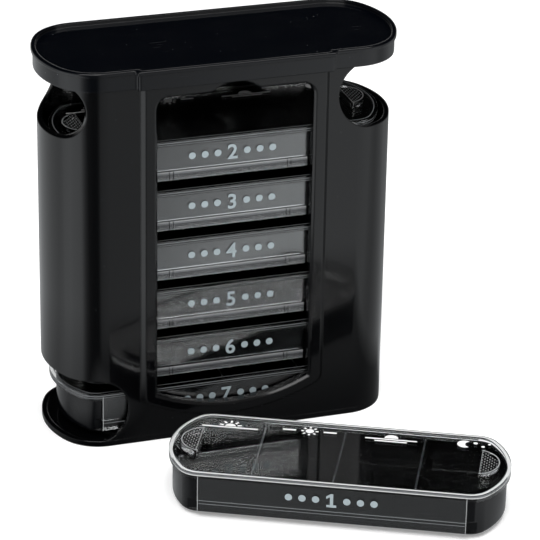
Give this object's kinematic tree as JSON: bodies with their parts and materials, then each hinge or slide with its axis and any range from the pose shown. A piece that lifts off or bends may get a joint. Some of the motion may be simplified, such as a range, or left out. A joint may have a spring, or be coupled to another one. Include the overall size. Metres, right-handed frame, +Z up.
{
  "type": "weekly pill organizer",
  "caption": "Tower-shaped pill organizer: stacked trays with sliding clear lids in a windowed sleeve, one tray taken out in front.",
  "frame": {"origin": "centre of the tower's base on the table", "axes": "+Z up, -Y towards the tower's front with its window, +X to the right seen from the front"},
  "size_m": [0.1345, 0.142, 0.1356],
  "materials": {
    "tower_black": "glossy moulded black plastic",
    "tub_black": "glossy moulded black plastic",
    "clear_lid": "clear glossy plastic",
    "white_print": "white screen print",
    "label_print": "pale grey-blue screen print"
  },
  "bodies": {
    "tower": {"sleeve": "tower_black", "base_plate": "tower_black", "top_cap": "tower_black"},
    "tray_1": {"tray_1": "tub_black"},
    "lid_1": {"lid_1": "clear_lid"},
    "tray_2": {"tray_2": "tub_black"},
    "lid_2": {"lid_2": "clear_lid"},
    "tray_3": {"tray_3": "tub_black"},
    "lid_3": {"lid_3": "clear_lid"},
    "tray_4": {"tray_4": "tub_black"},
    "lid_4": {"lid_4": "clear_lid"},
    "tray_5": {"tray_5": "tub_black"},
    "lid_5": {"lid_5": "clear_lid"},
    "tray_6": {"tray_6": "tub_black"},
    "lid_6": {"lid_6": "clear_lid"},
    "tray_7": {"tray_7": "tub_black"},
    "lid_7": {"lid_7": "clear_lid"}
  },
  "joints": [
    {"name": "tray_1_lift", "type": "slide", "parent": "tower", "child": "tray_1", "axis": [0, 0, 1], "range_m": [0, 0.06]},
    {"name": "lid_1_slide", "type": "slide", "parent": "tray_1", "child": "lid_1", "axis": [0.8965, -0.4431, 0], "range_m": [-0.02, 0.08]},
    {"name": "tray_6_lift", "type": "slide", "parent": "tower", "child": "tray_6", "axis": [0, 0, 1], "range_m": [0, 0.0179]},
    {"name": "lid_6_slide", "type": "slide", "parent": "tray_6", "child": "lid_6", "axis": [1, 0, 0], "range_m": [-0.001, 0.001]},
    {"name": "tray_5_lift", "type": "slide", "parent": "tower", "child": "tray_5", "axis": [0, 0, 1], "range_m": [0, 0.0179]},
    {"name": "lid_5_slide", "type": "slide", "parent": "tray_5", "child": "lid_5", "axis": [1, 0, 0], "range_m": [-0.001, 0.001]},
    {"name": "tray_4_lift", "type": "slide", "parent": "tower", "child": "tray_4", "axis": [0, 0, 1], "range_m": [0, 0.0179]},
    {"name": "lid_4_slide", "type": "slide", "parent": "tray_4", "child": "lid_4", "axis": [1, 0, 0], "range_m": [-0.001, 0.001]},
    {"name": "tray_3_lift", "type": "slide", "parent": "tower", "child": "tray_3", "axis": [0, 0, 1], "range_m": [0, 0.0179]},
    {"name": "lid_3_slide", "type": "slide", "parent": "tray_3", "child": "lid_3", "axis": [1, 0, 0], "range_m": [-0.001, 0.001]},
    {"name": "tray_2_lift", "type": "slide", "parent": "tower", "child": "tray_2", "axis": [0, 0, 1], "range_m": [0, 0.0179]},
    {"name": "lid_2_slide", "type": "slide", "parent": "tray_2", "child": "lid_2", "axis": [1, 0, 0], "range_m": [-0.001, 0.001]},
    {"name": "tray_7_slide", "type": "slide", "parent": "tower", "child": "tray_7", "axis": [1, 0, 0], "range_m": [-0.115, 0]},
    {"name": "lid_7_slide", "type": "slide", "parent": "tray_7", "child": "lid_7", "axis": [1, 0, 0], "range_m": [-0.0788, 0.0012]}
  ],
  "couplings": [
    {"joint": "tray_5_lift", "follows": "tray_6_lift", "ratio": 1},
    {"joint": "tray_4_lift", "follows": "tray_6_lift", "ratio": 1},
    {"joint": "tray_3_lift", "follows": "tray_6_lift", "ratio": 1},
    {"joint": "tray_2_lift", "follows": "tray_6_lift", "ratio": 1}
  ]
}
